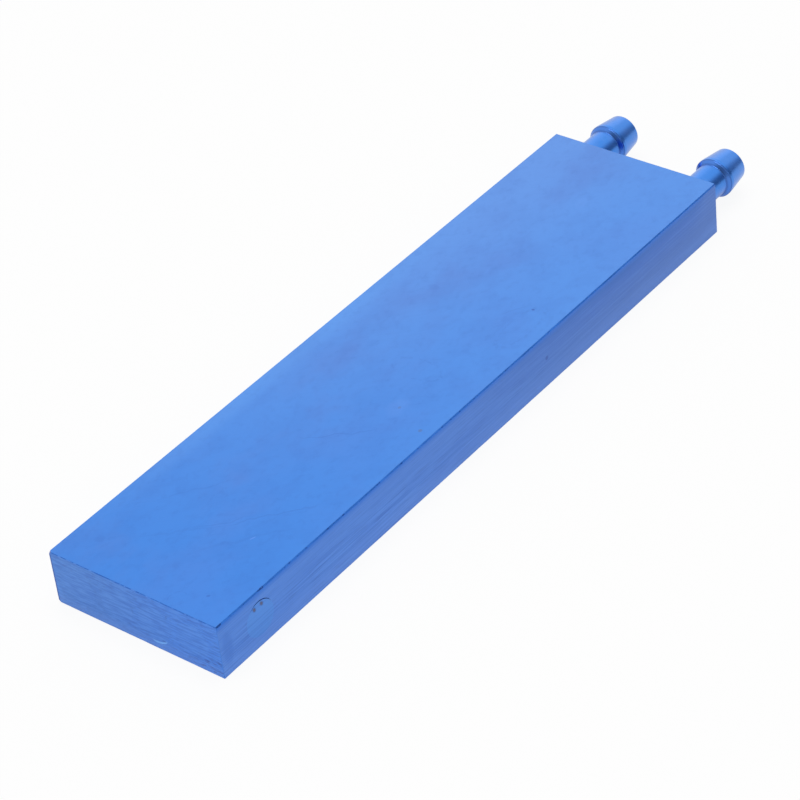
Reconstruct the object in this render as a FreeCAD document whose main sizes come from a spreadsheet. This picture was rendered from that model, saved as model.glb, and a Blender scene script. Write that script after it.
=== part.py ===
import FreeCAD, Part
import Sketcher
import math
import os

# Water cooling block, in millimetres.
#
# A flat bar of aluminium is drilled lengthwise four times, and short cross
# bores join the four long channels into one waterway that runs up and down
# the bar four times. Every drilled mouth that the water does not use is shut
# by a pressed plug. Two turned hose barbs are pressed into the outer channels.
#
# Frame: the origin is the centre of the bottom face, +Y points to the barbs,
# +Z is up and +X is the right-hand side seen from the plugged end.

doc = FreeCAD.newDocument("WaterBlock")

# Driving sizes

sheet = doc.addObject("Spreadsheet::Sheet", "Sizes")
SIZES = [
    ("block_width", 40.0, "width of the bar"),
    ("block_length", 160.0, "length of the bar"),
    ("block_height", 12.0, "thickness of the bar"),
    ("edge_break", 0.1, "chamfer on the edges of the bar"),
    ("side_wall", 3.25, "metal between an outer channel and the side face"),
    ("channel_web", 2.5, "metal between neighbouring channels"),
    ("link_step", 0.25, "how much smaller a cross bore is, in radius"),
    ("seat_step", 0.45, "how much wider a reamed seat is, in radius"),
    ("seat_clearance", 0.0, "gap left between a pressed piece and its seat"),
    ("drill_point_ratio", 0.6, "length of a drill's point over its radius"),
    ("end_plug_length", 5.0, "length of the plugs in the end face"),
    ("side_plug_length", 3.0, "length of the plugs in the side faces"),
    ("plug_chamfer", 0.3, "lead-in chamfer on the inner end of a plug"),
    ("link_inset", 11.0, "from an end face to the axis of its cross bore"),
    ("inner_seat_wall", 0.3, "metal between the inner plug's seat and a channel"),
    ("spigot_length", 6.0, "length of a barb inside the block"),
    ("barb_bore_radius", 2.5, "radius of the waterway through a barb"),
    ("neck_radius", 3.65, "radius of a barb between the block and its ridge"),
    ("neck_length", 8.3, "from the port face to the foot of the barb's ridge"),
    ("ridge_rise", 0.7, "length of the ridge's steep back slope"),
    ("ridge_radius", 4.5, "radius of the ridge that holds the hose"),
    ("ridge_land", 0.9, "length of the ridge's round land"),
    ("barb_reach", 15.5, "from the port face to the barb's tip"),
    ("nose_radius", 3.8, "radius where the barb's taper ends"),
    ("nose_round", 0.3, "round on the outer edge of the tip"),
    ("spigot_chamfer", 0.3, "lead-in chamfer on the inner end of a barb"),
]


class Size:
    """A size: its number now, and the expression that keeps a feature bound to it."""

    def __init__(self, text, value):
        self.text = text
        self.value = value

    def join(self, sign, other, value):
        """One expression made of two, in brackets."""
        return Size("(%s %s %s)" % (self.text, sign, other.text), value)

    def __add__(self, other):
        return self.join("+", other, self.value + other.value)

    def __sub__(self, other):
        return self.join("-", other, self.value - other.value)

    def __mul__(self, factor):
        return Size("(%s * %g)" % (self.text, factor), self.value * factor)

    def times(self, other):
        """The product of two sizes."""
        return self.join("*", other, self.value * other.value)


size = {}
for line, (alias, value, meaning) in enumerate(SIZES, start=1):
    sheet.set("A%d" % line, alias)
    sheet.set("B%d" % line, "%g" % value)
    sheet.setAlias("B%d" % line, alias)
    sheet.set("C%d" % line, meaning)
    size[alias] = Size("Sizes." + alias, value)
doc.recompute()

# Sizes that follow from the driving ones

ZERO = Size("0", 0.0)
half_width = size["block_width"] * 0.5
half_length = size["block_length"] * 0.5
mid_height = size["block_height"] * 0.5
near_face = size["block_length"] * -0.5
# Four channels fill the width between the side walls and the three webs.
walls = size["side_wall"] * 2 + size["channel_web"] * 3
channel_radius = (size["block_width"] - walls) * 0.125
seat_radius = channel_radius + size["seat_step"]
link_radius = channel_radius - size["link_step"]
pitch = channel_radius * 2 + size["channel_web"]
outer_channel = pitch * 1.5
inner_channel = pitch * 0.5
near_link = size["link_inset"] - half_length
port_link = half_length - size["link_inset"]
channel_point = channel_radius.times(size["drill_point_ratio"])
link_point = link_radius.times(size["drill_point_ratio"])
fitted_radius = seat_radius - size["seat_clearance"]
# The inner plug sits in the wall between the two left-hand channels, on a
# shoulder just short of the inner one.
inner_shoulder = inner_channel + channel_radius + size["inner_seat_wall"]
inner_plug_face = inner_shoulder + size["side_plug_length"]


# Sketch and body helpers

def new_body(name, x=ZERO, y=ZERO, z=ZERO, turn=0.0):
    """A labelled body, turned about Z and held in place by expressions."""
    body = doc.addObject("PartDesign::Body", name)
    body.Label = name
    turned = FreeCAD.Rotation(FreeCAD.Vector(0, 0, 1), turn)
    body.Placement = FreeCAD.Placement(FreeCAD.Vector(0, 0, 0), turned)
    for axis, place in (("x", x), ("y", y), ("z", z)):
        body.setExpression("Placement.Base." + axis, place.text)
    return body


def plane_of(body, role):
    """The body's own XY or YZ plane."""
    return [o for o in body.Origin.OriginFeatures if o.Role == role][0]


def new_sketch(body, name, x=ZERO, y=ZERO, z=ZERO, turn=0.0):
    """A sketch on the body's XY plane, turned about Z and placed by expressions."""
    sketch = body.newObject("Sketcher::SketchObject", name)
    sketch.AttachmentSupport = [(plane_of(body, "XY_Plane"), "")]
    sketch.MapMode = "FlatFace"
    turned = FreeCAD.Rotation(FreeCAD.Vector(0, 0, 1), turn)
    sketch.AttachmentOffset = FreeCAD.Placement(FreeCAD.Vector(0, 0, 0), turned)
    for axis, place in (("x", x), ("y", y), ("z", z)):
        sketch.setExpression("AttachmentOffset.Base." + axis, place.text)
    return sketch


def turned_profile(sketch, corners, rounded=None):
    """Half of a turned or drilled shape, as a closed outline.

    Each corner is its radius and its depth along the sketch's upright axis.
    A quarter round runs from the corner numbered rounded to the next one.
    """
    count = len(corners)
    for index in range(count):
        radius, depth = corners[index]
        next_radius, next_depth = corners[(index + 1) % count]
        here = FreeCAD.Vector(radius.value, depth.value, 0)
        there = FreeCAD.Vector(next_radius.value, next_depth.value, 0)
        if index == rounded:
            middle = FreeCAD.Vector(there.x, here.y, 0)
            circle = Part.Circle(middle, FreeCAD.Vector(0, 0, 1), here.x - there.x)
            sketch.addGeometry(Part.ArcOfCircle(circle, 0, math.pi / 2), False)
        else:
            sketch.addGeometry(Part.LineSegment(here, there), False)
    for index in range(count):
        sketch.addConstraint(
            Sketcher.Constraint("Coincident", index, 2, (index + 1) % count, 1))
    for index, (radius, depth) in enumerate(corners):
        hold(sketch, index, "DistanceX", radius)
        hold(sketch, index, "DistanceY", depth)
    if rounded is not None:
        sketch.addConstraint(Sketcher.Constraint("Horizontal", rounded, 3, rounded, 1))


def hold(sketch, index, kind, place):
    """Bind the start of one outline piece in one direction."""
    if place is ZERO:
        line = -2 if kind == "DistanceX" else -1
        sketch.addConstraint(Sketcher.Constraint("PointOnObject", index, 1, line))
        return
    number = sketch.addConstraint(
        Sketcher.Constraint(kind, -1, 1, index, 1, place.value))
    sketch.setExpression("Constraints[%d]" % number, place.text)


def spin(body, sketch, name, kind):
    """Turn a sketch once round its upright axis, as material or as a cut."""
    feature = body.newObject(kind, name)
    feature.Profile = sketch
    feature.ReferenceAxis = (sketch, ["V_Axis"])
    feature.Angle = 360.0
    sketch.Visibility = False
    return feature


def mirror_cut(body, feature, name):
    """The same cut on the other side of the block's middle plane."""
    twin = body.newObject("PartDesign::Mirrored", name)
    twin.Originals = [feature]
    twin.MirrorPlane = (plane_of(body, "YZ_Plane"), [""])
    body.Tip = twin


def bore_steps(radius, seat_depth, depth, tip=None):
    """Corners of a bore with a reamed mouth, blind where a drill point is given."""
    corners = [
        (ZERO, ZERO),
        (seat_radius, ZERO),
        (seat_radius, seat_depth),
        (radius, seat_depth),
        (radius, depth),
    ]
    if tip:
        corners.append((ZERO, depth + tip))
    return corners


# The bar with its waterway

block = new_body("block_body")
outline = new_sketch(block, "bar_outline")
ring = [(-1, -1), (1, -1), (1, 1), (-1, 1)]
corners = [FreeCAD.Vector(i * half_width.value, j * half_length.value, 0)
           for i, j in ring]
for index in range(4):
    outline.addGeometry(
        Part.LineSegment(corners[index], corners[(index + 1) % 4]), False)
for index in range(4):
    outline.addConstraint(
        Sketcher.Constraint("Coincident", index, 2, (index + 1) % 4, 1))
    level = "Horizontal" if index % 2 == 0 else "Vertical"
    outline.addConstraint(Sketcher.Constraint(level, index))
outline.addConstraint(Sketcher.Constraint("Symmetric", 0, 1, 2, 1, -1, 1))
across = outline.addConstraint(
    Sketcher.Constraint("DistanceX", 0, 1, 0, 2, size["block_width"].value))
outline.setExpression("Constraints[%d]" % across, size["block_width"].text)
along = outline.addConstraint(
    Sketcher.Constraint("DistanceY", 1, 1, 1, 2, size["block_length"].value))
outline.setExpression("Constraints[%d]" % along, size["block_length"].text)

bar = block.newObject("PartDesign::Pad", "bar")
bar.Profile = outline
bar.setExpression("Length", size["block_height"].text)
outline.Visibility = False
doc.recompute()

broken = block.newObject("PartDesign::Chamfer", "broken_edges")
broken.Base = (bar, ["Edge%d" % (i + 1) for i in range(len(bar.Shape.Edges))])
broken.setExpression("Size", size["edge_break"].text)

# Outer channels: plug seat, channel and barb seat, right through the bar.
outer = new_sketch(block, "outer_channel_profile", outer_channel, near_face, mid_height)
barb_seat = size["block_length"] - size["spigot_length"]
turned_profile(outer, bore_steps(channel_radius, size["end_plug_length"], barb_seat) + [
    (seat_radius, barb_seat),
    (seat_radius, size["block_length"]),
    (ZERO, size["block_length"]),
])
outer_cut = spin(block, outer, "outer_channel", "PartDesign::Groove")
mirror_cut(block, outer_cut, "outer_channel_left")

# Inner channels: plug seat, then blind, as deep as the port end's cross bore.
inner = new_sketch(block, "inner_channel_profile", inner_channel, near_face, mid_height)
blind = size["block_length"] - size["link_inset"] + channel_radius
turned_profile(inner, bore_steps(
    channel_radius, size["end_plug_length"], blind, channel_point))
inner_cut = spin(block, inner, "inner_channel", "PartDesign::Groove")
mirror_cut(block, inner_cut, "inner_channel_left")

# Cross bores near the plugged end: each joins an outer channel to its inner one.
near = new_sketch(
    block, "near_link_profile", half_width, near_link, mid_height, turn=90.0)
near_depth = half_width - inner_channel
turned_profile(near, bore_steps(
    link_radius, size["side_plug_length"], near_depth, link_point))
near_cut = spin(block, near, "near_link", "PartDesign::Groove")
mirror_cut(block, near_cut, "near_link_left")

# Cross bore near the ports: wide from the left side to the inner plug's
# shoulder, then narrow through to the second channel on the right.
port = new_sketch(
    block, "port_link_profile", half_width * -1, port_link, mid_height, turn=-90.0)
port_depth = half_width + inner_channel
turned_profile(port, bore_steps(
    link_radius, half_width - inner_shoulder, port_depth, link_point))
spin(block, port, "port_link", "PartDesign::Groove")


# Pressed plugs

def plug(name, length, x, y, turn=0.0):
    """A short turned pin with a lead-in at its inner end only.

    Its outer face, at the body's own origin, is ground flush with the bar.
    """
    body = new_body(name, x, y, mid_height, turn)
    sketch = new_sketch(body, name + "_profile")
    bevel = size["plug_chamfer"]
    turned_profile(sketch, [
        (ZERO, ZERO),
        (fitted_radius, ZERO),
        (fitted_radius, length - bevel),
        (fitted_radius - bevel, length),
        (ZERO, length),
    ])
    spin(body, sketch, name + "_turned", "PartDesign::Revolution")
    return body


long_plug = size["end_plug_length"]
short_plug = size["side_plug_length"]
right_side = half_width
left_side = half_width * -1
nodes = [
    block,
    plug("end_plug_left_outer", long_plug, outer_channel * -1, near_face),
    plug("end_plug_left_inner", long_plug, inner_channel * -1, near_face),
    plug("end_plug_right_inner", long_plug, inner_channel, near_face),
    plug("end_plug_right_outer", long_plug, outer_channel, near_face),
    plug("side_plug_right", short_plug, right_side, near_link, 90.0),
    plug("side_plug_left", short_plug, left_side, near_link, -90.0),
    plug("side_plug_port_end", short_plug, left_side, port_link, -90.0),
    plug("inner_plug", short_plug, inner_plug_face * -1, port_link, -90.0),
]


# Turned hose barbs

def barb(name, x):
    """A hose barb; its body's origin is where its axis meets the port face."""
    body = new_body(name, x, half_length, mid_height)
    sketch = new_sketch(body, name + "_profile", y=size["spigot_length"] * -1)
    bevel = size["spigot_chamfer"]
    ridge_foot = size["spigot_length"] + size["neck_length"]
    ridge_back = ridge_foot + size["ridge_rise"]
    ridge_front = ridge_back + size["ridge_land"]
    tip = size["spigot_length"] + size["barb_reach"]
    turned_profile(sketch, [
        (size["barb_bore_radius"], ZERO),
        (fitted_radius - bevel, ZERO),
        (fitted_radius, bevel),
        (fitted_radius, size["spigot_length"]),
        (size["neck_radius"], size["spigot_length"]),
        (size["neck_radius"], ridge_foot),
        (size["ridge_radius"], ridge_back),
        (size["ridge_radius"], ridge_front),
        (size["nose_radius"], tip - size["nose_round"]),
        (size["nose_radius"] - size["nose_round"], tip),
        (size["barb_bore_radius"], tip),
    ], rounded=8)
    spin(body, sketch, name + "_turned", "PartDesign::Revolution")
    return body


nodes.append(barb("inlet_barb", outer_channel * -1))
nodes.append(barb("outlet_barb", outer_channel))
doc.recompute()

# Check every object, then write one file for each piece

faults = []
for item in doc.Objects:
    if "Invalid" in item.State or "Error" in item.State:
        faults.append("%s is %s" % (item.Name, item.State))
for body in nodes:
    if body.Shape.isNull() or not body.Shape.isValid():
        faults.append("%s has no valid shape" % body.Label)
    if len(body.Shape.Solids) != 1:
        faults.append("%s has %d solids" % (body.Label, len(body.Shape.Solids)))
if faults:
    raise RuntimeError("; ".join(faults))

os.makedirs("parts", exist_ok=True)
for body in nodes:
    body.Shape.exportStep("parts/%s.step" % body.Label)
    box = body.Shape.BoundBox
    print("%-24s %8.1f mm3  x %.2f..%.2f  y %.2f..%.2f  z %.2f..%.2f" % (
        body.Label, body.Shape.Volume,
        box.XMin, box.XMax, box.YMin, box.YMax, box.ZMin, box.ZMax))
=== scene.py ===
# %% [markdown]
# # A blue anodised water cooling block
#
# The block is a flat bar of aluminium with water channels drilled inside it,
# plugs that close the drilled mouths, and two hose barbs on one end. Its shape
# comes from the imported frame. This lesson gives it its finish: ground and
# brushed faces dyed blue, hand-broken edges, pressed plugs that show as faint
# discs, bright turned barbs, and the small marks that handling left.
#
# Everything is in metres, in the frame's own axes: the bar lies along Y, its
# barbs point to +Y, and its bottom face rests on the floor at zero height.

# %% Load the frame
import math

import bmesh
import bpy
from mathutils import Matrix, Quaternion, Vector, noise


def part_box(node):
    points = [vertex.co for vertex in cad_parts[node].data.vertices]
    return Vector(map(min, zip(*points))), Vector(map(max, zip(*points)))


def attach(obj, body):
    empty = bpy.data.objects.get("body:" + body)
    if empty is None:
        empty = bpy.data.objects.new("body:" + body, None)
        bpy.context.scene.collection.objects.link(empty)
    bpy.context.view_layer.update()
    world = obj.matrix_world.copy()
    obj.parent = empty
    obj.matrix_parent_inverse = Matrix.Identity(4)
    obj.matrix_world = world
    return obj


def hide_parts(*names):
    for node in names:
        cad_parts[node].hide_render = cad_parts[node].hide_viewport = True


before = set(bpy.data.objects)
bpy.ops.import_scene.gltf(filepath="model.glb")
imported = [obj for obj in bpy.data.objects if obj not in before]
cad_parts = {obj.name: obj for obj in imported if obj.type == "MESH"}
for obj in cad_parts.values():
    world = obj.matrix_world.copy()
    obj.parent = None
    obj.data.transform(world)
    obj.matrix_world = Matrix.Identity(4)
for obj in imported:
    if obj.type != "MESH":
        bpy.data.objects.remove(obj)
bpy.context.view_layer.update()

MM = 0.001
scene = bpy.context.scene
scene.view_settings.view_transform = "Standard"
bar_low, bar_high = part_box("block_body")
bar_size = bar_high - bar_low
print("bar, in millimetres:", [round(side / MM, 2) for side in bar_size])

# %% [markdown]
# ## The camera
#
# A long lens shows a small object without much perspective, which is how such
# a catalogue picture is taken. The camera is given by the point it looks at,
# its bearing and height round that point, its distance, and a small roll,
# because the picture was framed with the bar lying steeper than level.

# %% Place the camera
LOOK_AT = Vector((8.045, -11.69, 12.0)) * MM
BEARING = math.radians(41.57)
RISE = math.radians(36.89)
ROLL = math.radians(-6.89)
CAMERA_DISTANCE = 557.1 * MM
FOCAL_LENGTH = 132.5
SENSOR_WIDTH = 36.0

toward_camera = Vector((math.sin(BEARING) * math.cos(RISE),
                        -math.cos(BEARING) * math.cos(RISE),
                        math.sin(RISE)))
camera_data = bpy.data.cameras.new("camera")
camera_data.lens = FOCAL_LENGTH
camera_data.sensor_width = SENSOR_WIDTH
camera_data.clip_start = 0.01
camera = bpy.data.objects.new("camera", camera_data)
scene.collection.objects.link(camera)
camera.rotation_mode = "QUATERNION"
camera.location = LOOK_AT + toward_camera * CAMERA_DISTANCE
camera.rotation_quaternion = (toward_camera.to_track_quat("Z", "Y")
                              @ Quaternion((0, 0, 1), ROLL))
scene.camera = camera
print("camera stands at", [round(v, 4) for v in camera.location])

# %% [markdown]
# ## A small language for materials
#
# Shader trees are easier to read as sums. One class holds a socket and knows
# how to add, subtract and multiply; the other holds a node tree and makes any
# other node from its type, its settings and its inputs.

# %% Sockets that can be added and multiplied
class Wire:
    """An output socket that takes part in sums."""

    def __init__(self, shop, socket):
        self.shop = shop
        self.socket = socket

    def __add__(self, other):
        return self.shop.maths("ADD", self, other)

    __radd__ = __add__

    def __sub__(self, other):
        return self.shop.maths("SUBTRACT", self, other)

    def __rsub__(self, other):
        return self.shop.maths("SUBTRACT", other, self)

    def __mul__(self, other):
        return self.shop.maths("MULTIPLY", self, other)

    __rmul__ = __mul__

    def __neg__(self):
        return self.shop.maths("MULTIPLY", self, -1.0)

    def size(self):
        """The value without its sign."""
        return self.shop.maths("ABSOLUTE", self)

    def rise(self, start, full):
        """0 up to start, 1 from full on, smooth between."""
        return self.shop.node("ShaderNodeMapRange", {"interpolation_type": "SMOOTHSTEP"},
                              {"Value": self, "From Min": start, "From Max": full})

    def fall(self, start, gone):
        """1 up to start, 0 from gone on, smooth between."""
        return 1.0 - self.rise(start, gone)


class Shop:
    """A node tree and the ways to add to it."""

    def __init__(self, tree):
        self.tree = tree

    def plug_in(self, socket, value):
        """Link a wire to a socket, or write a plain value on it."""
        if isinstance(value, Wire):
            self.tree.links.new(value.socket, socket)
        elif isinstance(value, tuple) and len(socket.default_value) > len(value):
            socket.default_value = (*value, 1.0)
        else:
            socket.default_value = value

    def node(self, kind, settings, inputs, output=0):
        """A node of any kind: settings first, then its sockets; gives one output."""
        made = self.tree.nodes.new(kind)
        for name, value in settings.items():
            setattr(made, name, value)
        for name, value in inputs.items():
            self.plug_in(made.inputs[name], value)
        return Wire(self, made.outputs[output])

    def maths(self, operation, *values):
        return self.node("ShaderNodeMath", {"operation": operation},
                         dict(enumerate(values)))

    def blend(self, share, first, second):
        """Mix two colours: share 0 gives the first, 1 the second."""
        made = self.tree.nodes.new("ShaderNodeMix")
        made.data_type = "RGBA"
        for number, value in ((0, share), (6, first), (7, second)):
            self.plug_in(made.inputs[number], value)
        return Wire(self, made.outputs[2])

    def paint(self, colour, *coats):
        """Lay coats over a colour, one after the other; each is a share and a colour."""
        for share, coat in coats:
            colour = self.blend(share, colour, coat)
        return colour

    def axes(self, kind="Object", scale=1.0 / MM):
        """A coordinate's x, y and z as three wires, for a material in millimetres."""
        spot = self.node("ShaderNodeTexCoord", {}, {}, kind)
        spot = self.node("ShaderNodeVectorMath", {"operation": "SCALE"},
                         {0: spot, "Scale": scale})
        split = self.tree.nodes.new("ShaderNodeSeparateXYZ")
        self.plug_in(split.inputs[0], spot)
        return [Wire(self, split.outputs[i]) for i in range(3)]

    def vector(self, x, y, z):
        return self.node("ShaderNodeCombineXYZ", {}, {"X": x, "Y": y, "Z": z})

    def grain(self, x, y, z, detail=2.0, roughness=0.5, distortion=0.0):
        """Noise between 0 and 1, about 0.5 on average, one wave per unit."""
        return self.node("ShaderNodeTexNoise", {"normalize": True},
                         {"Vector": self.vector(x, y, z), "Scale": 1.0,
                          "Detail": detail, "Roughness": roughness,
                          "Distortion": distortion})


def new_finish(name):
    """A material and its tree; the shader's sockets are reached through .shader."""
    material = bpy.data.materials.new(name)
    material.use_nodes = True
    shop = Shop(material.node_tree)
    shop.material = material
    shop.shader = material.node_tree.nodes["Principled BSDF"].inputs
    shop.output = material.node_tree.nodes["Material Output"].inputs["Surface"]
    return shop


# %% [markdown]
# ## The white room
#
# Polished metal is a picture of the room round it. A catalogue photographer
# puts such a block on white paper, lights it softly from behind and above, and
# leaves one side of the room dark, so that round metal gets a dark band and
# its shape can be read. Here the world does that: it is white all round, dim
# behind the camera and dark, with a faint violet tint, on the right behind the
# block. Only mirror-like rays see the dim and the dark side: to the camera the
# room is plain white, and the light that falls on dull surfaces is even.

# %% Build the room
ROOM_LIGHT = 0.5
WHITE = (1.0, 1.0, 1.0)
DARK_TINT = (0.85, 0.8, 1.0)
# Where a side lies, how straight a ray has to point there for the light to
# start falling and to be lowest, and how much of the light is missing there.
DARK_SIDE, DARK_FADE, DARK_DROP = Vector((0.77, 0.61, 0.07)).normalized(), (0.70, 0.98), 0.74
DIM_SIDE, DIM_FADE, DIM_DROP = Vector((0.3, -0.88, 0.36)).normalized(), (0.70, 0.97), 0.72


def facing(ways, target):
    """How nearly the direction in three wires points at a target, up to 1."""
    return ways[0] * target.x + ways[1] * target.y + ways[2] * target.z


def ray_kinds(shop):
    """1 for a ray from the camera, through glass too, and 1 for a mirrored one."""
    path = shop.tree.nodes.new("ShaderNodeLightPath").outputs
    looks = shop.maths("MAXIMUM", Wire(shop, path["Is Camera Ray"]),
                       Wire(shop, path["Is Transmission Ray"]))
    return looks, Wire(shop, path["Is Glossy Ray"])


world = bpy.data.worlds.new("white_room")
scene.world = world
world.use_nodes = True
room = Shop(world.node_tree)
looks, mirrors = ray_kinds(room)
ways = room.axes("Generated", 1.0)
dark = facing(ways, DARK_SIDE).rise(*DARK_FADE)
dim = facing(ways, DIM_SIDE).rise(*DIM_FADE)
mirrored = 1.0 - dark * DARK_DROP - dim * DIM_DROP
level = looks + (1.0 - looks) * (mirrors * mirrored + (1.0 - mirrors) * ROOM_LIGHT)
air = room.tree.nodes["Background"].inputs
room.plug_in(air["Color"], room.blend(dark * mirrors, WHITE, DARK_TINT))
room.plug_in(air["Strength"], level)
print("room light on dull surfaces:", ROOM_LIGHT)

# %% [markdown]
# ## The paper it lies on
#
# The floor is a sheet of plain white paper. Seen by the camera, or mirrored in
# the block, it is mostly white by itself, through the Light Path node, and the
# rest is lit paper, so that the block's soft shadow stays.

# %% Lay the paper
FLOOR_HALF = 3.0
PAPER_SINK = 0.02 * MM
PAPER_WHITE = 0.95
PAPER_ROUGHNESS = 0.9
OWN_WHITE_TO_CAMERA = 0.91
OWN_WHITE_IN_MIRROR = 0.45

sheet = bmesh.new()
bmesh.ops.create_grid(sheet, x_segments=1, y_segments=1, size=FLOOR_HALF)
paper_mesh = bpy.data.meshes.new("paper_floor")
sheet.to_mesh(paper_mesh)
sheet.free()
paper_mesh.transform(Matrix.Translation((0, 0, -PAPER_SINK)))
floor = bpy.data.objects.new("paper_floor", paper_mesh)
scene.collection.objects.link(floor)

paper = new_finish("white_paper")
paper.shader["Base Color"].default_value = (PAPER_WHITE, PAPER_WHITE, PAPER_WHITE, 1.0)
paper.shader["Roughness"].default_value = PAPER_ROUGHNESS
paper.shader["Specular IOR Level"].default_value = 0.0
looks, mirrors = ray_kinds(paper)
own_share = looks * OWN_WHITE_TO_CAMERA + mirrors * OWN_WHITE_IN_MIRROR
own_white = paper.node("ShaderNodeEmission", {}, {"Strength": 1.0})
lit_paper = Wire(paper, paper.tree.nodes["Principled BSDF"].outputs[0])
paper.plug_in(paper.output, paper.node("ShaderNodeMixShader", {},
                                       {0: own_share, 1: lit_paper, 2: own_white}))
paper_mesh.materials.append(paper.material)
print("paper, half its side in metres:", FLOOR_HALF)

# %% [markdown]
# ## Soft lamps
#
# Three soft boxes: a large one low behind on the left, one overhead and a
# small one on the right. Their brightness is written so that 1 is a white
# surface, which keeps the block's colours near the values in its materials.

# %% Hang the soft boxes
LAMPS = [
    # name, place, width and height in metres, brightness
    ("back_soft_box", (-0.75, 0.95, 0.62), 1.1, 0.7, 0.2),
    ("overhead_soft_box", (0.0, -0.05, 1.4), 1.0, 1.0, 3.0),
    ("right_soft_box", (1.35, -0.45, 0.6), 0.7, 0.5, 0.4),
]
for name, spot, width, height, brightness in LAMPS:
    lamp_data = bpy.data.lights.new(name, "AREA")
    lamp_data.shape = "RECTANGLE"
    lamp_data.size = width
    lamp_data.size_y = height
    lamp_data.energy = brightness * math.pi * width * height
    lamp = bpy.data.objects.new(name, lamp_data)
    scene.collection.objects.link(lamp)
    lamp.location = spot
    lamp.rotation_mode = "QUATERNION"
    lamp.rotation_quaternion = Vector(spot).to_track_quat("Z", "Y")
print(len(LAMPS), "soft lamps")

# %% [markdown]
# ## The bar: its edges are broken by hand
#
# The bar is sawn from flat stock and drilled. A fitter then runs a file along
# each edge, so the broken edge is never quite even. A Bevel modifier would
# give every edge one width, so each file stroke is cut here instead: a thin
# wedge lies along the edge, its width wanders by seeded noise, and a boolean
# takes it off a merged copy of the drilled solid.

# %% Helpers for solid work
WELD = 0.0005 * MM   # points nearer than this are one point


def new_object(name, work):
    """Turn a bmesh into an object at the origin."""
    mesh = bpy.data.meshes.new(name)
    work.to_mesh(mesh)
    work.free()
    made = bpy.data.objects.new(name, mesh)
    scene.collection.objects.link(made)
    return made


def merged_copy(node_name, name):
    """A copy of a drilled solid whose loose triangles are joined into one skin."""
    work = bmesh.new()
    work.from_mesh(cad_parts[node_name].data)
    bmesh.ops.remove_doubles(work, verts=work.verts, dist=WELD)
    return new_object(name, work)


def apply_modifiers(piece):
    """Give a piece the mesh that its modifiers make, and take them off."""
    finished = piece.evaluated_get(bpy.context.evaluated_depsgraph_get())
    mesh = bpy.data.meshes.new_from_object(finished)
    piece.modifiers.clear()
    piece.data = mesh


def cut_away(piece, cutters):
    """Take every cutter off a piece, then throw the cutters away."""
    for cutter in cutters:
        step = piece.modifiers.new(cutter.name, "BOOLEAN")
        step.operation = "DIFFERENCE"
        step.solver = "EXACT"
        step.object = cutter
    apply_modifiers(piece)
    for cutter in cutters:
        bpy.data.objects.remove(cutter)


def soften(mesh, sharpest):
    """Smooth shading, but edges that turn by more than an angle stay sharp."""
    work = bmesh.new()
    work.from_mesh(mesh)
    bmesh.ops.remove_doubles(work, verts=work.verts, dist=WELD)
    bmesh.ops.dissolve_degenerate(work, edges=work.edges, dist=WELD)
    for face in work.faces:
        face.smooth = True
    for edge in work.edges:
        edge.smooth = edge.is_manifold and edge.calc_face_angle(0.0) < sharpest
    work.to_mesh(mesh)
    work.free()


# %% File the edges
# Lengths are in millimetres. A stroke has a mean width and a wobble about it.
RIGHT_TOP_STROKE = 0.23
LONG_STROKE, LONG_WOBBLE = 0.115, 0.03
END_TOP_STROKE, END_FOOT_STROKE, END_WOBBLE = 0.15, 0.12, 0.04
UPRIGHT_STROKE, UPRIGHT_WOBBLE = 0.13, 0.03
LEAST_STROKE = 0.11
RING_GAP, LEAST_RINGS = 0.45, 8
OVERRUN = 1.0        # the wedge starts this far before the edge and ends after it
SIDE_SPARE = 0.6     # it is wider than the cut, by this share on both sides
OUT_SPARE = 0.9      # and its back stands this far outside the bar
# For each face of an edge: the seed's shift and the length of the slow wave,
# then the same for the ripple on it.
WAVES = ((0, 6.0, 3, 1.1), (5, 5.0, 9, 0.9))
RIPPLE_SHARE = 0.6
SEED_STRIDE = (7.3, 1.9)


def wander(seed, along, wave):
    """Seeded noise between about -1 and 1 at a distance along an edge."""
    return noise.noise(Vector((along / wave, seed * SEED_STRIDE[0], seed * SEED_STRIDE[1])))


def stroke_widths(seed, along, width, wobble):
    """How far a stroke reaches over each of the edge's two faces."""
    return [max(width + wobble * (wander(seed + slow, along, wave)
                                  + RIPPLE_SHARE * wander(seed + quick, along, ripple)),
                LEAST_STROKE)
            for slow, wave, quick, ripple in WAVES]


def file_stroke(name, start, end, out_a, out_b, seed, width, wobble):
    """A wedge along an edge, between two faces with outward normals a and b."""
    length = (end - start).length
    way = (end - start).normalized()
    steps = max(int(length / RING_GAP), LEAST_RINGS)
    work = bmesh.new()
    rings = []
    for i in range(steps + 1):
        along = -OVERRUN + (length + 2 * OVERRUN) * i / steps
        spot = start + way * along
        wide_a, wide_b = stroke_widths(seed, along, width, wobble)
        on_b = spot - out_a * wide_a
        on_a = spot - out_b * wide_b
        reach = on_b - on_a
        points = (on_b + reach * SIDE_SPARE, on_a - reach * SIDE_SPARE,
                  spot + (out_a + out_b) * OUT_SPARE)
        rings.append([work.verts.new(point * MM) for point in points])
    for low, high in zip(rings, rings[1:]):
        for i in range(3):
            j = (i + 1) % 3
            work.faces.new((low[i], low[j], high[j], high[i]))
    work.faces.new(rings[0])
    work.faces.new(rings[-1])
    bmesh.ops.recalc_face_normals(work, faces=work.faces)
    return new_object(name, work)


half = Vector((bar_high.x, bar_high.y, bar_high.z)) / MM
RIGHT, PORT_WAY, UP = Vector((1, 0, 0)), Vector((0, 1, 0)), Vector((0, 0, 1))
strokes = []


def file_edge(kind, start, end, out_a, out_b, width, wobble):
    """Add one edge's stroke; its number names it and seeds its wander."""
    strokes.append(file_stroke(f"{kind}_stroke_{len(strokes)}", Vector(start), Vector(end),
                               out_a, out_b, len(strokes) + 1, width, wobble))


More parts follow.
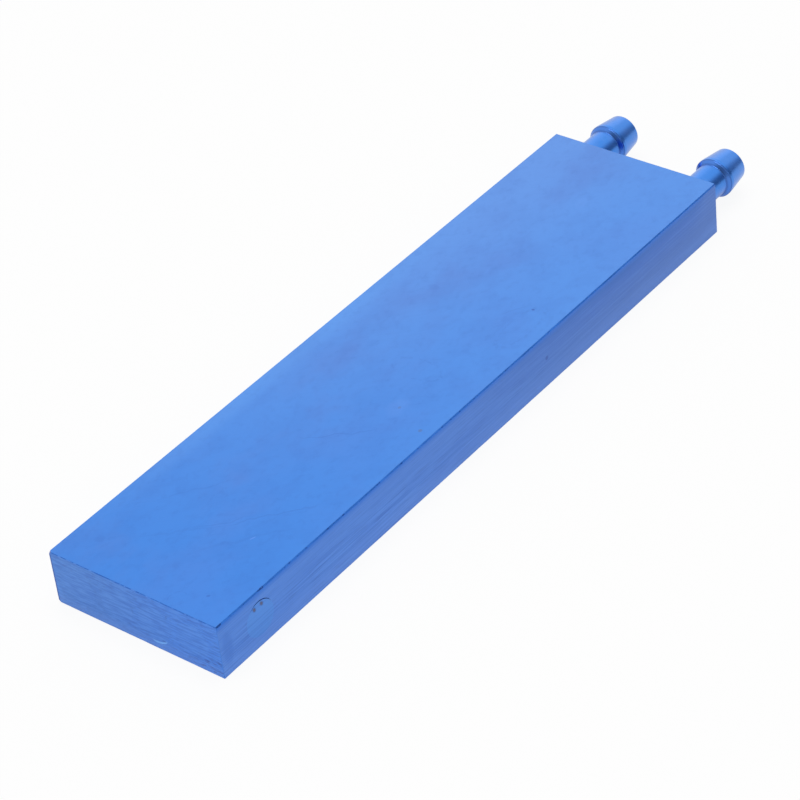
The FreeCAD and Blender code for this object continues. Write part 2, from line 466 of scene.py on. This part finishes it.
for side in (-1, 1):
    for up, level in ((-UP, 0.0), (UP, half.z)):
        file_edge("long", (side * half.x, -half.y, level), (side * half.x, half.y, level),
                  RIGHT * side, up, RIGHT_TOP_STROKE if side * level > 0 else LONG_STROKE,
                  LONG_WOBBLE)
    for up, level in ((-UP, 0.0), (UP, half.z)):
        file_edge("end", (-half.x, side * half.y, level), (half.x, side * half.y, level),
                  PORT_WAY * side, up, END_TOP_STROKE if level > 0 else END_FOOT_STROKE,
                  END_WOBBLE)
    for right in (-1, 1):
        file_edge("upright", (right * half.x, side * half.y, 0.0),
                  (right * half.x, side * half.y, half.z), RIGHT * right, PORT_WAY * side,
                  UPRIGHT_STROKE, UPRIGHT_WOBBLE)
print(len(strokes), "edges filed")

# %% [markdown]
# ## Marks that handling and pressing left
#
# The seat of the near side plug was reamed a little high, so a thin dark gap
# shows over the plug. The right top edge has a nick over that plug and a ding
# near its end, and the two corners at the left of the plugged end, top and
# foot, are rubbed. Each is a small cutter. Stains, scratches and specks have no
# depth, so the material holds them; it also holds a painted highlight, the
# bright crescent under one end plug, and painted shadow in the nick and the ding.

# %% Cut the marks
def rod(name, centre, way, radius, length, segments=72):
    """A plain round cutter along a direction."""
    work = bmesh.new()
    bmesh.ops.create_cone(work, cap_ends=True, segments=segments, radius1=radius * MM,
                          radius2=radius * MM, depth=length * MM)
    turn = UP.rotation_difference(way).to_matrix().to_4x4()
    work.transform(Matrix.Translation(centre * MM) @ turn)
    return new_object(name, work)


def pebble(name, centre, size):
    """A small ball cutter, stretched to three half-lengths."""
    work = bmesh.new()
    bmesh.ops.create_icosphere(work, subdivisions=2, radius=1.0)
    work.transform(Matrix.Translation(centre * MM) @ Matrix.Diagonal((*(size * MM), 1.0)))
    return new_object(name, work)


def corner_facet(name, corner, outward, depth):
    """A block that takes a corner off, square to a direction."""
    work = bmesh.new()
    bmesh.ops.create_cube(work, size=2 * FACET_BLOCK * MM)
    outward = outward.normalized()
    turn = UP.rotation_difference(outward).to_matrix().to_4x4()
    middle = corner + outward * (FACET_BLOCK - depth)
    work.transform(Matrix.Translation(middle * MM) @ turn)
    return new_object(name, work)


# Places along the bar count from its middle, and the barbs' end is at +80.
MID_HEIGHT = half.z / 2
SIDE_PLUG_PLACE = -69.0
SEAT_SHIFT, SEAT_LIFT, SEAT_RADIUS, SEAT_LENGTH = 0.08, 0.43, 3.45, 0.9
NICK_PLACE, NICK_SIZE = -67.5, Vector((0.25, 0.36, 0.14))
DING_PLACE, DING_SIZE = -79.2, Vector((0.24, 0.5, 0.12))
RUB_DEPTH = 0.4
FACET_BLOCK = 1.0
BAR_SHARPEST = math.radians(28)

marks = [
    rod("high_reamed_seat",
        Vector((half.x, SIDE_PLUG_PLACE + SEAT_SHIFT, MID_HEIGHT + SEAT_LIFT)),
        RIGHT, SEAT_RADIUS, SEAT_LENGTH),
    pebble("edge_nick", Vector((half.x, NICK_PLACE, half.z)), NICK_SIZE),
    pebble("edge_ding", Vector((half.x, DING_PLACE, half.z)), DING_SIZE),
    corner_facet("rubbed_corner", Vector((-half.x, -half.y, half.z)),
                 Vector((-1, -1, 1)), RUB_DEPTH),
    corner_facet("rubbed_foot", Vector((-half.x, -half.y, 0)),
                 Vector((-1, -1, -1)), RUB_DEPTH),
]

bar = merged_copy("block_body", "drilled_bar")
cut_away(bar, strokes + marks)
soften(bar.data, BAR_SHARPEST)
print("bar:", len(bar.data.polygons), "faces")

# %% [markdown]
# ## The hose barbs
#
# A barb is turned in one piece: a spigot that is pressed into the block, a
# neck, a steep ridge that bites the hose and a long taper, with the waterway
# bored through. A lathe does exactly what Curve to Mesh does, so one Geometry
# Nodes tree takes the cut profile, rounds its corners and sweeps it round the
# bore. Both barbs come from the same tree with another place.

# %% A lathe in Geometry Nodes
LATHE_INPUTS = {"Profile": "Geometry", "Spin Radius": "Float", "Steps Round": "Int",
                "Place": "Vector", "Finish": "Material"}
CORNER_STEPS = 5
STEPS_ROUND = 128
BARB_SHARPEST = math.radians(35)


def lathe_tree():
    """Profile in, turned solid out: x of the profile is radius, y is length."""
    tree = bpy.data.node_groups.new("lathe", "GeometryNodeTree")
    for name, kind in LATHE_INPUTS.items():
        tree.interface.new_socket(name, in_out="INPUT", socket_type="NodeSocket" + kind)
    tree.interface.new_socket("Turned", in_out="OUTPUT", socket_type="NodeSocketGeometry")
    shop = Shop(tree)
    sockets = tree.nodes.new("NodeGroupInput").outputs
    given = {name: Wire(shop, sockets[name]) for name in LATHE_INPUTS}
    line = shop.node("GeometryNodeMeshToCurve", {}, {"Mesh": given["Profile"]})
    corner = shop.node("GeometryNodeInputNamedAttribute", {"data_type": "FLOAT"},
                       {"Name": "corner_round"})
    line = shop.node("GeometryNodeFilletCurve", {"mode": "POLY"},
                     {"Curve": line, "Count": CORNER_STEPS, "Radius": corner,
                      "Limit Radius": True})
    ring = shop.node("GeometryNodeCurvePrimitiveCircle", {"mode": "RADIUS"},
                     {"Resolution": given["Steps Round"], "Radius": given["Spin Radius"]})
    turned = shop.node("GeometryNodeCurveToMesh", {}, {"Curve": ring, "Profile Curve": line})
    turned = shop.node("GeometryNodeTransform", {},
                       {"Geometry": turned, "Rotation": (math.pi / 2, 0.0, 0.0),
                        "Translation": given["Place"]})
    turned = shop.node("GeometryNodeRealizeInstances", {}, {"Geometry": turned})
    turned = shop.node("GeometryNodeSetMaterial", {},
                       {"Geometry": turned, "Material": given["Finish"]})
    out = tree.nodes.new("NodeGroupOutput")
    tree.links.new(turned.socket, out.inputs[0])
    return tree


def turn_profile(name, profile, place, spin_radius, finish, tree):
    """Feed a profile of (radius, length, corner round) to the lathe."""
    work = bmesh.new()
    corners = [work.verts.new(((radius - spin_radius) * MM, length * MM, 0.0))
               for radius, length, rounding in profile]
    for i, corner in enumerate(corners):
        work.edges.new((corner, corners[(i + 1) % len(corners)]))
    blank = new_object(name, work)
    rounds = blank.data.attributes.new("corner_round", "FLOAT", "POINT")
    rounds.data.foreach_set("value", [rounding * MM for radius, length, rounding in profile])
    step = blank.modifiers.new("lathe", "NODES")
    step.node_group = tree
    sockets = {item.name: item.identifier for item in tree.interface.items_tree
               if item.in_out == "INPUT"}
    step[sockets["Spin Radius"]] = spin_radius * MM
    step[sockets["Steps Round"]] = STEPS_ROUND
    step[sockets["Place"]] = place * MM
    step[sockets["Finish"]] = finish
    apply_modifiers(blank)
    work = bmesh.new()
    work.from_mesh(blank.data)
    bmesh.ops.remove_doubles(work, verts=work.verts, dist=WELD)
    bmesh.ops.recalc_face_normals(work, faces=work.faces)
    work.to_mesh(blank.data)
    work.free()
    soften(blank.data, BARB_SHARPEST)
    return blank


# %% The profile of a barb
BORE = 2.5
BARB_AXIS = 13.5
BARB_PROFILE = [
    # radius, distance from the port face, corner round
    (BORE, -6.0, 0.1), (3.4, -6.0, 0.05), (3.7, -5.7, 0.05), (3.7, 0.0, 0.0),
    (3.65, 0.0, 0.0), (3.65, 8.35, 0.2), (4.36, 8.95, 0.1), (4.36, 9.05, 0.05),
    (4.5, 9.2, 0.08), (4.5, 9.9, 0.3), (3.8, 15.2, 0.35), (3.5, 15.5, 0.2),
    (BORE, 15.5, 0.15),
]
print("a barb's profile has", len(BARB_PROFILE), "corners")


# %% [markdown]
# ## Anodised blue, face by face
#
# Anodising grows a thin clear layer that soaks up dye, so the metal's own
# shine shows through blue and a weak clear gloss lies on top. That is a metal
# with a light coat. What changes from face to face is the tooling under it:
# the wide faces are ground, the long sides keep the lines of the drawn bar, and
# the ends are cut across. All of it is one material that reads the point's own
# place, so the lines run where the tools ran.

# %% Blues of the ground and brushed faces
NEAR_BLUE = (0.036, 0.206, 0.662)
# The ground face turns lighter towards the barbs and the left: partly the dye's tone, partly
# painted sheen; the strip along the left edge is painted sheen.
PORT_TONE_AND_SHEEN_BLUE = (0.067, 0.248, 0.700)
LEFT_TONE_AND_SHEEN_BLUE = (0.094, 0.262, 0.692)
STRIP_SHEEN_BLUE = (0.092, 0.300, 0.760)
CLOUD_BLUE = (0.075, 0.190, 0.560)
SIDE_BLUE = (0.074, 0.240, 0.718)
# The side's blue towards the barbs is darker: partly its tone, partly painted shade.
SIDE_PORT_TONE_AND_SHADE_BLUE = (0.064, 0.182, 0.550)
SIDE_DEEP = (0.030, 0.152, 0.575)
END_LEFT_BLUE = (0.056, 0.224, 0.670)
END_RIGHT_BLUE = (0.046, 0.234, 0.785)
EDGE_BLUE = (0.040, 0.220, 0.785)
EDGE_SHADE = (0.010, 0.160, 0.660)
# Painted shade under the top edge of the sides.
UNDER_EDGE_SHADE_BLUE = (0.014, 0.132, 0.500)
DEEP_BLUE = (0.018, 0.090, 0.400)
# Painted highlight: the bright crescent under an end plug.
CRESCENT_GLINT_BLUE = (0.17, 0.46, 0.95)
# Painted shadow inside the nick and the ding.
DENT_SHADOW_BLUE = (0.014, 0.085, 0.350)
PALE_BLUE = (0.150, 0.330, 0.830)
STREAK_BLUE = (0.110, 0.315, 0.810)
# Painted shade on the back of a barb's ridge.
RIDGE_BACK_SHADE_BLUE = (0.066, 0.215, 0.690)
RESIDUE = (0.085, 0.095, 0.16)
PLUG_END_LEFT_BLUE = (0.060, 0.230, 0.680)
PLUG_END_RIGHT_BLUE = (0.052, 0.238, 0.765)
PLUG_SIDE_BLUE = (0.070, 0.262, 0.740)
PLUG_SIDE_PORT_TONE_AND_SHADE_BLUE = (0.056, 0.188, 0.600)
BARB_BLUE = (0.046, 0.238, 0.760)
BARB_CLOUD_BLUE = (0.10, 0.272, 0.75)
# Painted shade along the corners of a barb's ridge.
CORNER_SHADE_BLUE = (0.03, 0.10, 0.37)
COAT_WEIGHT = 0.4
COAT_ROUGHNESS = 0.2
# The bar as the materials read it, in millimetres.
HALF_WIDTH, HALF_LENGTH, HEIGHT = 20.0, 80.0, 12.0


def at_face(distance, face, start=0.05, full=0.01):
    """1 on a flat face that lies this far out, 0 on the filed edge inside it."""
    return distance.rise(face - start, face - full)


def soft_spot(x, y, middle_x, middle_y, half_x, half_y, lean=0.0):
    """1 in the middle of an ellipse, 0 outside it; lean turns it, in degrees."""
    turn = math.radians(lean)
    across = (x - middle_x) * math.cos(turn) + (y - middle_y) * math.sin(turn)
    along = (y - middle_y) * math.cos(turn) - (x - middle_x) * math.sin(turn)
    across = across * (1.0 / half_x)
    along = along * (1.0 / half_y)
    return (across * across + along * along).fall(0.1, 1.0)


def scratch(x, y, start, end, width):
    """A thin line between two points, fading at its ends."""
    start, end = Vector(start), Vector(end)
    middle = (start + end) / 2
    way = end - start
    lean = math.degrees(math.atan2(way.y, way.x)) - 90.0
    return soft_spot(x, y, middle.x, middle.y, width, way.length / 2, lean)


def metal_under_coat(shop, colour, rough, height, depth):
    """Join a colour, a roughness and a surface height into the shader."""
    shop.plug_in(shop.shader["Base Color"], colour)
    shop.plug_in(shop.shader["Roughness"], rough)
    shop.shader["Metallic"].default_value = 1.0
    shop.shader["Coat Weight"].default_value = COAT_WEIGHT
    shop.shader["Coat Roughness"].default_value = COAT_ROUGHNESS
    relief = shop.node("ShaderNodeBump", {}, {"Height": height, "Strength": 1.0,
                                              "Distance": depth * MM})
    shop.plug_in(shop.shader["Normal"], relief)


print("weight of the clear coat:", COAT_WEIGHT)

# %% [markdown]
# ## The ground faces
#
# Grinding leaves short lines that cross the bar at a slant. Over them lie slow
# changes of tone, lighter towards the barbs and the left, partly the dye's own
# tone and partly painted sheen, a strip of painted sheen along the left edge,
# soft clouds from the dye bath, and the marks of use. Each mark has its own line
# in a table, with its place in millimetres.

# %% Marks on the ground faces
SCRATCHES = (
    # start, end, half its width, share
    ((1.0, -60.0), (17.0, -41.5), 0.22, 0.17),
    ((-2.9, -62.9), (7.0, -52.0), 0.25, 0.12),
    ((-2.8, -32.2), (12.0, -19.6), 0.22, 0.2),
    ((-14.0, -60.0), (-2.0, -44.0), 0.3, 0.1),
    ((2.0, -67.0), (16.0, -50.0), 0.6, 0.1),
    ((-10.0, -70.0), (4.0, -57.0), 0.5, 0.1),
    ((12.0, 26.0), (7.5, 20.0), 0.15, 0.2),
)
# For the stains: middle across and along, both half-lengths, share.
DARK_STAINS = ((13.0, 24.9, 0.42, 0.42, 0.75), (-8.6, 21.3, 1.6, 1.2, 0.16),
               (13.0, -73.9, 0.5, 0.5, 0.45), (-14.4, -72.2, 1.3, 1.3, 0.16))
SPECKS = ((9.4, -13.6, 0.4, 0.5, 0.3), (17.1, -17.3, 0.5, 0.6, 0.4))
# The pale ones have a lean as well, before the share.
PALE_STAINS = ((9.0, -13.6, 2.5, 3.6, 0.0, 0.12), (10.2, -58.1, 0.25, 0.8, -20.0, 0.4),
               (0.0, 60.7, 1.4, 2.6, 0.0, 0.08))
DRIED_DROPS = ((14.3, 18.8, 2.6, 7.6), (5.0, -2.2, 5.6, 2.9), (8.9, -77.6, 1.6, 2.0))


def top_marks(x, y):
    """Stains and scratches on the ground face: dark and pale shares."""
    dark = sum([scratch(x, y, start, end, width) * share
                for start, end, width, share in SCRATCHES]
               + [soft_spot(x, y, *place) * share for *place, share in DARK_STAINS])
    pale = sum(soft_spot(x, y, *place) * share for *place, share in PALE_STAINS)
    return dark, pale


def dried_drops(shop, x, y):
    """Thin broken rings where the dye bath was wiped."""
    broken = shop.grain(x * 0.9, y * 0.9, 0.0, 2.0).rise(0.42, 0.62)
    rings = []
    for middle_x, middle_y, half_x, half_y in DRIED_DROPS:
        across = (x - middle_x) * (1.0 / half_x)
        along = (y - middle_y) * (1.0 / half_y)
        reach = across * across + along * along
        rings.append(reach.rise(0.72, 0.95) * reach.fall(1.02, 1.3) * broken)
    return sum(rings)


def ground_face(shop, x, y):
    """Colour, roughness and height of the ground top and bottom."""
    along = y.rise(-85.0, 65.0)
    leftward = (-x).rise(-14.0, 20.0)
    clouds = shop.grain(x * 0.07, y * 0.045, 3.1, 4.0, 0.58).rise(0.40, 0.72)
    clouds = clouds * (1.0 - (-x).rise(9.0, 16.0) * 0.6)
    sheen_strip = (-x).rise(15.0, 18.5) * (y + 8.0).size().fall(15.0, 75.0) * 0.45

    skew = x * 0.74 + y * 0.67
    cross = x * -0.67 + y * 0.74
    lines = shop.grain(cross * 0.9, skew * 0.16, 5.0, 3.0, 0.6, 0.5)
    mottle = shop.grain(x * 0.75, y * 0.5, 1.7, 4.0, 0.6)
    blotch = shop.grain(x * 0.17, y * 0.12, 6.6, 3.0, 0.6)
    tooling = (lines.rise(0.48, 0.72) * 0.045 + mottle.rise(0.48, 0.72) * 0.11
               + blotch.rise(0.46, 0.62) * 0.07)

    drift = shop.grain(x * 0.2, y * 0.2, 8.0, 2.0) * 2.2 - 1.1
    dark, pale = top_marks(x + drift, y - drift)
    dark = dark + dried_drops(shop, x, y) * 0.16
    specks = sum(soft_spot(x, y, *place) * share for *place, share in SPECKS)

    # Lighter towards the barbs and the left: partly dye tone, partly painted sheen; the
    # strip along the left edge is painted sheen.
    colour = shop.paint(
        NEAR_BLUE,
        (along, PORT_TONE_AND_SHEEN_BLUE),
        (along * leftward * 0.8, LEFT_TONE_AND_SHEEN_BLUE),
        (clouds * (leftward * 0.5 + 0.22), CLOUD_BLUE),
        (sheen_strip, STRIP_SHEEN_BLUE),
        (tooling, DEEP_BLUE),
        (dark, DEEP_BLUE),
        (pale, PALE_BLUE),
        (specks, RESIDUE))
    height = lines * 0.25 + mottle * 0.15 - dark * 0.3 + pale * 0.2
    return colour, clouds * 0.05 + 0.39, height


print(len(SCRATCHES), "scratches,", len(DARK_STAINS) + len(PALE_STAINS), "stains,",
      len(DRIED_DROPS), "dried drops")

# %% [markdown]
# ## The drawn sides, the sawn ends and the filed edges
#
# The sides keep long lines of the drawn bar, light and dark. Over them lies
# painted shade: a deeper blue under the top edge, and a blue that darkens
# towards the barbs, partly its tone and partly painted shade. The ends have
# short lines across, and low down darker dashes. The filed edges are broken
# into light and dark dashes.

# %% Colours of the sides, ends and edges
# Marks on the plugged end: middle, both half-lengths, share, tint.
END_SPOTS = ((6.2, 2.5, 0.7, 0.25, 0.6, DEEP_BLUE), (-9.9, 6.1, 0.3, 0.5, 0.4, DEEP_BLUE),
             (7.8, 8.9, 0.3, 0.5, 0.35, DEEP_BLUE), (-14.7, 4.0, 0.3, 0.5, 0.5, PALE_BLUE),
             (-4.4, 4.0, 0.3, 0.5, 0.6, PALE_BLUE))
CRESCENT_X, CRESCENT_Z = 4.3, 5.7


def drawn_lines(shop, x, y, z):
    """Long lines that drawing left along the bar."""
    return shop.grain(y * 0.05, z * 2.3, x * 0.3, 3.0, 0.62)


def saw_lines(shop, x, y, z):
    """Short lines that the saw left across an end."""
    return shop.grain(x * 0.25, z * 2.3, y * 0.3, 3.0, 0.62)


def drawn_side(shop, x, y, z, drawn):
    """Colour and height of the long sides."""
    fine = shop.grain(y * 0.16, z * 5.8, x * 0.5, 2.0, 0.5)
    # Painted shade: darker towards the top edge, more so towards the barbs, deepest just
    # under the top edge; the blue that darkens towards the barbs is partly tone, partly
    # painted shade.
    shade_toward_top_and_barbs = z.rise(3.5, 11.0) * (y.rise(-20.0, 60.0) * 0.8 + 0.1)
    shade_toward_top_and_barbs = shade_toward_top_and_barbs * (1.0 - y.rise(71.0, 77.0) * 0.6)
    low = z.fall(4.5, 9.0) * y.fall(-30.0, 30.0) * 0.6 + 0.4
    shade_under_edge = z.rise(8.6, 11.0) * y.rise(-10.0, 45.0) * y.fall(72.0, 77.0)
    shade_below_top_edge = z.rise(10.4, 11.9) * (1.0 - y.rise(72.0, 77.0) * 0.7)
    colour = shop.paint(
        SIDE_BLUE,
        (y.rise(-50.0, 70.0), SIDE_PORT_TONE_AND_SHADE_BLUE),
        (shade_toward_top_and_barbs, SIDE_DEEP),
        (drawn.rise(0.47, 0.64) * low * 0.55, SIDE_DEEP),
        (drawn.fall(0.36, 0.50) * low * 0.38, STREAK_BLUE),
        (fine.rise(0.50, 0.66) * (low * 0.22 + 0.15), DEEP_BLUE),
        (shade_under_edge * 0.6, UNDER_EDGE_SHADE_BLUE),
        (z.fall(0.8, 5.0) * 0.36, PALE_BLUE),
        (soft_spot(y, z, -78.0, 6.0, 1.7, 4.5) * 0.4, SIDE_DEEP),
        (shade_below_top_edge * 0.95, EDGE_SHADE),
        (soft_spot(y, z, 19.0, 6.6, 0.6, 0.6) * 0.75, DEEP_BLUE))
    return colour, drawn * 0.6 + fine * 0.4


def sawn_end(shop, x, y, z, plugged):
    """Colour and height of the ends."""
    across = saw_lines(shop, x, y, z)
    dashes = shop.grain(x * 0.7, z * 2.8, y * 0.2 + 4.0, 2.0, 0.5)
    low_right = x.rise(11.0, 14.5) * z.fall(2.6, 4.2)
    # The crescent is a painted highlight, a ring round the third plug, kept only at its
    # lower right.
    off_x, off_z = x - CRESCENT_X, z - CRESCENT_Z
    reach = off_x * off_x + off_z * off_z
    crescent_glint = reach.rise(14.6, 16.0) * reach.fall(17.4, 19.0)
    crescent_glint = crescent_glint * x.rise(3.0, 4.2) * x.fall(6.6, 7.1) * z.fall(2.4, 3.2)
    colour = shop.paint(
        END_LEFT_BLUE,
        (x.rise(-12.0, 14.0), END_RIGHT_BLUE),
        (across.rise(0.46, 0.62) * (x.rise(-10.0, 4.0) * 0.2 + 0.45), SIDE_DEEP),
        (across.fall(0.38, 0.52) * 0.32, STREAK_BLUE),
        (dashes.rise(0.50, 0.66) * (low_right * 0.7 + 0.28), DEEP_BLUE),
        (z.fall(0.6, 3.2) * 0.32, PALE_BLUE),
        (crescent_glint * plugged * 0.95, CRESCENT_GLINT_BLUE),
        *[(soft_spot(x, z, *place) * plugged * share, tint)
          for *place, share, tint in END_SPOTS],
        ((-x).rise(19.45, 19.7) * 0.9, DEEP_BLUE))
    return colour, across * 0.6 + dashes * 0.4


def filed_edge(shop, x, y, z, plugged):
    """Colour of the filed edges."""
    chatter = shop.grain(x * 0.9, y * 0.9, z * 0.9, 2.0, 0.6)
    worn = 1.0 - y.rise(-20.0, 30.0) * 0.6
    near_end = y.size().rise(79.5, 79.8)
    upright = z.rise(0.6, 1.0) * z.fall(11.0, 11.4)
    lit = (chatter.rise(0.38, 0.54) * 0.75 + 0.25) * (x.rise(-8.0, 6.0) * 0.25 + 0.75)
    end_edge = shop.paint(DEEP_BLUE, (lit, SIDE_DEEP),
                          (chatter.rise(0.54, 0.62) * 0.6, PALE_BLUE))
    return shop.paint(
        EDGE_BLUE,
        (chatter.fall(0.30, 0.46) * worn * 0.85, DEEP_BLUE),
        (near_end, end_edge),
        (upright * near_end * 0.6, SIDE_DEEP),
        (upright * near_end * plugged * (z.rise(2.0, 6.0) * 0.15 + 0.3), PALE_BLUE),
        ((-x).rise(19.3, 19.5) * near_end * 0.9, DEEP_BLUE))


print(len(END_SPOTS), "marks on the plugged end")


# %% The bar's finish
def bar_finish():
    """One material; a point's own place says which kind of face it is on."""
    shop = new_finish("anodised_bar")
    x, y, z = shop.axes()
    on_top = at_face(z, HEIGHT) + z.fall(0.01, 0.05)
    on_side = at_face(x.size(), HALF_WIDTH)
    on_end = at_face(y.size(), HALF_LENGTH)
    plugged = (-y).rise(0.0, 1.0)
    drawn = drawn_lines(shop, x, y, z)

    ground, ground_rough, ground_height = ground_face(shop, x, y)
    side, side_height = drawn_side(shop, x, y, z, drawn)
    ends, end_height = sawn_end(shop, x, y, z, plugged)
    # The nick and the ding are real dents; their near-black blue is painted shadow.
    dent_shadows = (soft_spot(y, z, NICK_PLACE, HEIGHT, 0.6, 0.34)
             + soft_spot(y, z, DING_PLACE, HEIGHT, 0.9, 0.34))
    right_edge = x.rise(19.68, 19.8)
    colour = shop.paint(
        filed_edge(shop, x, y, z, plugged),
        (on_side, side),
        (on_end, ends),
        (on_top, ground),
        ((dent_shadows * right_edge).rise(0.1, 0.5) * 0.95, DENT_SHADOW_BLUE))

    rough = on_top * ground_rough + (1.0 - on_top) * (drawn * 0.1 + 0.34)
    height = on_side * side_height + on_end * end_height + on_top * ground_height
    metal_under_coat(shop, colour, rough, height, 0.006)
    return shop.material


# %% [markdown]
# ## Plugs and barbs
#
# The plugs were pressed in and ground flush with the bar, so they carry the
# same lines as the face round them and differ by a slightly greyer tone. The
# barbs are turned, which leaves fine rings and a shine; the back of each ridge
# and its corners are painted darker, as painted shade.

# %% Finish of the plugs and barbs
# Two specks of glue on the side plug: middle along and up, lean. Each has a
# dark rim and a brown heart: both half-lengths, share, tint.
GLUE_SPECKS = ((-70.2, 8.8, 25.0), (-68.2, 8.9, 30.0))
GLUE_COATS = ((0.62, 0.86, 0.5, DEEP_BLUE), (0.42, 0.62, 0.85, RESIDUE))
# Painted shade: dark lines at the foot and at the top of a ridge's back, from the port face:
# place, and how far each reaches.
CORNER_SHADE_LINES = ((8.36, 0.36), (9.14, 0.28))


def plug_finish():
    """The bar's blue and the bar's lines, a little greyer."""
    shop = new_finish("pressed_plug")
    x, y, z = shop.axes()
    across = saw_lines(shop, x, y, z)
    drawn = drawn_lines(shop, x, y, z)
    on_end = at_face(y.size(), HALF_LENGTH, 0.1, 0.02)
    on_side = at_face(x.size(), HALF_WIDTH, 0.1, 0.02)
    end_blue = shop.paint(
        PLUG_END_LEFT_BLUE,
        (x.rise(-12.0, 14.0), PLUG_END_RIGHT_BLUE),
        (across.rise(0.46, 0.62) * 0.6, SIDE_DEEP),
        (across.fall(0.38, 0.52) * 0.36, STREAK_BLUE))
    # Like the bar's side, darker towards the barbs: partly tone, partly painted shade.
    side_blue = shop.paint(
        PLUG_SIDE_BLUE,
        (y.rise(-50.0, 60.0), PLUG_SIDE_PORT_TONE_AND_SHADE_BLUE),
        (drawn.rise(0.48, 0.66) * 0.4, SIDE_DEEP))
    for half_y, half_z, share, tint in GLUE_COATS:
        glue = sum(soft_spot(y, z, *middle, half_y, half_z, lean)
                   for *middle, lean in GLUE_SPECKS)
        side_blue = shop.blend(glue * x.rise(0.0, 1.0) * share, side_blue, tint)
    colour = shop.paint(EDGE_BLUE, (on_side, side_blue), (on_end, end_blue))
    height = on_side * drawn + on_end * across
    metal_under_coat(shop, colour, 0.36 + drawn * 0.08, height, 0.005)
    return shop.material


def barb_finish():
    """Bright turned blue with fine rings from the tool, and painted shade on the ridge's
    back and at its corners.
    """
    shop = new_finish("turned_barb")
    x, y, z = shop.axes()
    rings = shop.grain(y * 5.0, 0.0, 2.0, 2.0, 0.5)
    cloud = shop.grain(x * 0.5, y * 0.5, z * 0.5, 3.0, 0.6)
    from_face = y - HALF_LENGTH
    ridge_back_shade = from_face.rise(8.30, 8.38) * from_face.fall(9.05, 9.15)
    corner_shade_lines = sum((from_face - place).size().fall(0.02, reach)
                       for place, reach in CORNER_SHADE_LINES)
    # Painted shade: a darker blue on the ridge's back and dark lines at its corners.
    colour = shop.paint(
        BARB_BLUE,
        (cloud.rise(0.4, 0.7) * 0.3, BARB_CLOUD_BLUE),
        (ridge_back_shade, RIDGE_BACK_SHADE_BLUE),
        (corner_shade_lines * 0.62, CORNER_SHADE_BLUE))
    metal_under_coat(shop, colour, 0.25 + cloud * 0.08, rings, 0.0015)
    return shop.material


bar_metal = bar_finish()
plug_metal = plug_finish()
barb_metal = barb_finish()
print("finishes:", bar_metal.name, plug_metal.name, barb_metal.name)

# %% [markdown]
# ## The finished block
#
# The bar and the barbs take the place of their solids, and the plugs keep theirs.

# %% Dress the part
lathe = lathe_tree()
barbs = []
for name, x in (("turned_inlet_barb", -BARB_AXIS), ("turned_outlet_barb", BARB_AXIS)):
    barbs.append(turn_profile(name, BARB_PROFILE, Vector((x, half.y, MID_HEIGHT)), BORE,
                              barb_metal, lathe))
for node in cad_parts.values():
    node.data.materials.clear()
    node.data.materials.append(plug_metal)
bar.data.materials.clear()
bar.data.materials.append(bar_metal)
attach(bar, "root")
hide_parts("block_body")
for piece, node_name in zip(barbs, ("inlet_barb", "outlet_barb")):
    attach(piece, "root")
    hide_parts(node_name)
